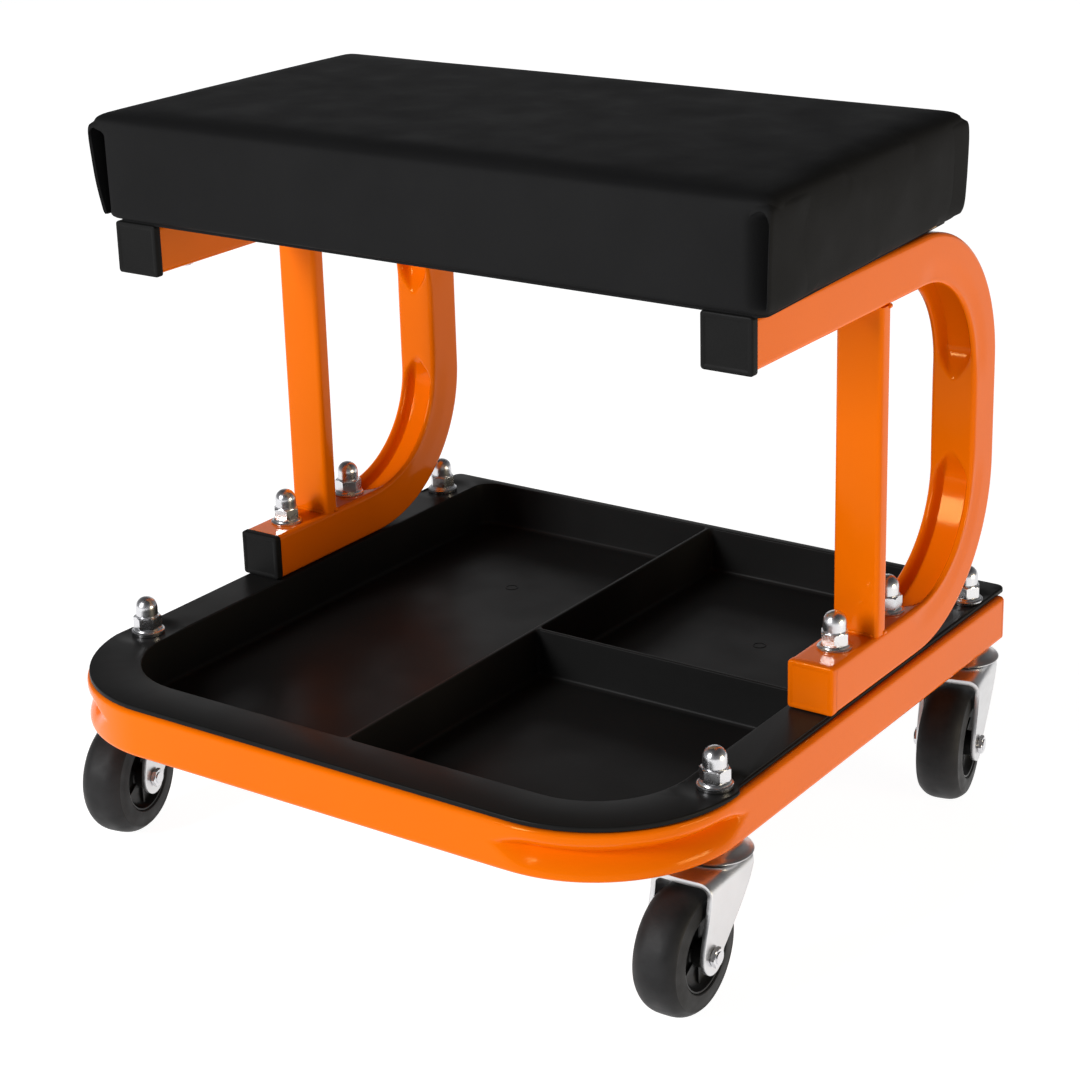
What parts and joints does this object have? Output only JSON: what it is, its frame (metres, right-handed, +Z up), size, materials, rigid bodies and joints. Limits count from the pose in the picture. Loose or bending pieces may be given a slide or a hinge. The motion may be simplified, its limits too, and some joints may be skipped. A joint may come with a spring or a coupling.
{
  "type": "mechanics creeper seat",
  "caption": "Low rolling work seat: padded top on C-shaped tube frames over a divided parts tray and a U-shaped tube base on swivel casters.",
  "frame": {"origin": "on the floor, under the middle of the whole outline", "axes": "+Z up, +X across to the right as seen from the front, -Y is the front, where the arms and feet of the side frames end in plugs"},
  "size_m": [0.401, 0.3676, 0.3747],
  "materials": {
    "orange_paint": "gloss",
    "tray_plastic": "satin",
    "black_plastic": "satin",
    "vinyl": "satin",
    "board": "matte",
    "zinc": "polished",
    "fork_zinc": "satin",
    "tyre": "matte"
  },
  "bodies": {
    "chassis": {"base_frame": "orange_paint", "rail_end_cap_left": "orange_paint", "rail_end_cap_right": "orange_paint", "tool_tray": "tray_plastic", "side_frame_left": "orange_paint", "post_left": "orange_paint", "foot_end_cap_left": "black_plastic", "arm_end_cap_left": "black_plastic", "side_frame_right": "orange_paint", "post_right": "orange_paint", "foot_end_cap_right": "orange_paint", "arm_end_cap_right": "black_plastic", "seat_board": "board", "seat_cushion": "vinyl", "foot_bolt_left_front": "zinc", "foot_nut_left_front": "zinc", "seat_screw_left_front": "zinc", "foot_bolt_left_rear": "zinc", "foot_nut_left_rear": "zinc", "seat_screw_left_rear": "zinc", "foot_bolt_right_front": "zinc", "foot_nut_right_front": "zinc", "seat_screw_right_front": "zinc", "foot_bolt_right_rear": "zinc", "foot_nut_right_rear": "zinc", "seat_screw_right_rear": "zinc", "swivel_race_front_left": "fork_zinc", "stem_front_left": "zinc", "stem_nut_front_left": "zinc", "swivel_race_rear_left": "fork_zinc", "stem_rear_left": "zinc", "stem_nut_rear_left": "zinc", "swivel_race_front_right": "fork_zinc", "stem_front_right": "zinc", "stem_nut_front_right": "zinc", "swivel_race_rear_right": "fork_zinc", "stem_rear_right": "zinc", "stem_nut_rear_right": "zinc"},
    "fork_front_left": {"fork_front_left": "fork_zinc", "axle_bolt_front_left": "zinc", "axle_nut_front_left": "zinc"},
    "wheel_front_left": {"tyre_front_left": "tyre", "hub_front_left": "black_plastic"},
    "fork_rear_left": {"fork_rear_left": "fork_zinc", "axle_bolt_rear_left": "zinc", "axle_nut_rear_left": "zinc"},
    "wheel_rear_left": {"tyre_rear_left": "tyre", "hub_rear_left": "black_plastic"},
    "fork_front_right": {"fork_front_right": "fork_zinc", "axle_bolt_front_right": "zinc", "axle_nut_front_right": "zinc"},
    "wheel_front_right": {"tyre_front_right": "tyre", "hub_front_right": "black_plastic"},
    "fork_rear_right": {"fork_rear_right": "fork_zinc", "axle_bolt_rear_right": "zinc", "axle_nut_rear_right": "zinc"},
    "wheel_rear_right": {"tyre_rear_right": "tyre", "hub_rear_right": "black_plastic"}
  },
  "joints": [
    {"name": "swivel_front_left", "type": "hinge", "parent": "chassis", "child": "fork_front_left", "pos_m": [-0.175, -0.10605, 0.073], "axis": [0, 0, 1], "continuous": true},
    {"name": "roll_front_left", "type": "hinge", "parent": "fork_front_left", "child": "wheel_front_left", "pos_m": [-0.16876, -0.13539, 0.03125], "axis": [0.9781, 0.2079, 0], "continuous": true},
    {"name": "swivel_rear_left", "type": "hinge", "parent": "chassis", "child": "fork_rear_left", "pos_m": [-0.175, 0.15485, 0.073], "axis": [0, 0, 1], "continuous": true},
    {"name": "roll_rear_left", "type": "hinge", "parent": "fork_rear_left", "child": "wheel_rear_left", "pos_m": [-0.17186, 0.12501, 0.03125], "axis": [0.9945, 0.1045, 0], "continuous": true},
    {"name": "swivel_front_right", "type": "hinge", "parent": "chassis", "child": "fork_front_right", "pos_m": [0.175, -0.10605, 0.073], "axis": [0, 0, 1], "continuous": true},
    {"name": "roll_front_right", "type": "hinge", "parent": "fork_front_right", "child": "wheel_front_right", "pos_m": [0.17605, -0.13603, 0.03125], "axis": [0.9994, 0.0349, 0], "continuous": true},
    {"name": "swivel_rear_right", "type": "hinge", "parent": "chassis", "child": "fork_rear_right", "pos_m": [0.175, 0.15485, 0.073], "axis": [0, 0, 1], "continuous": true},
    {"name": "roll_rear_right", "type": "hinge", "parent": "fork_rear_right", "child": "wheel_rear_right", "pos_m": [0.18124, 0.12551, 0.03125], "axis": [0.9781, 0.2079, 0], "continuous": true}
  ]
}
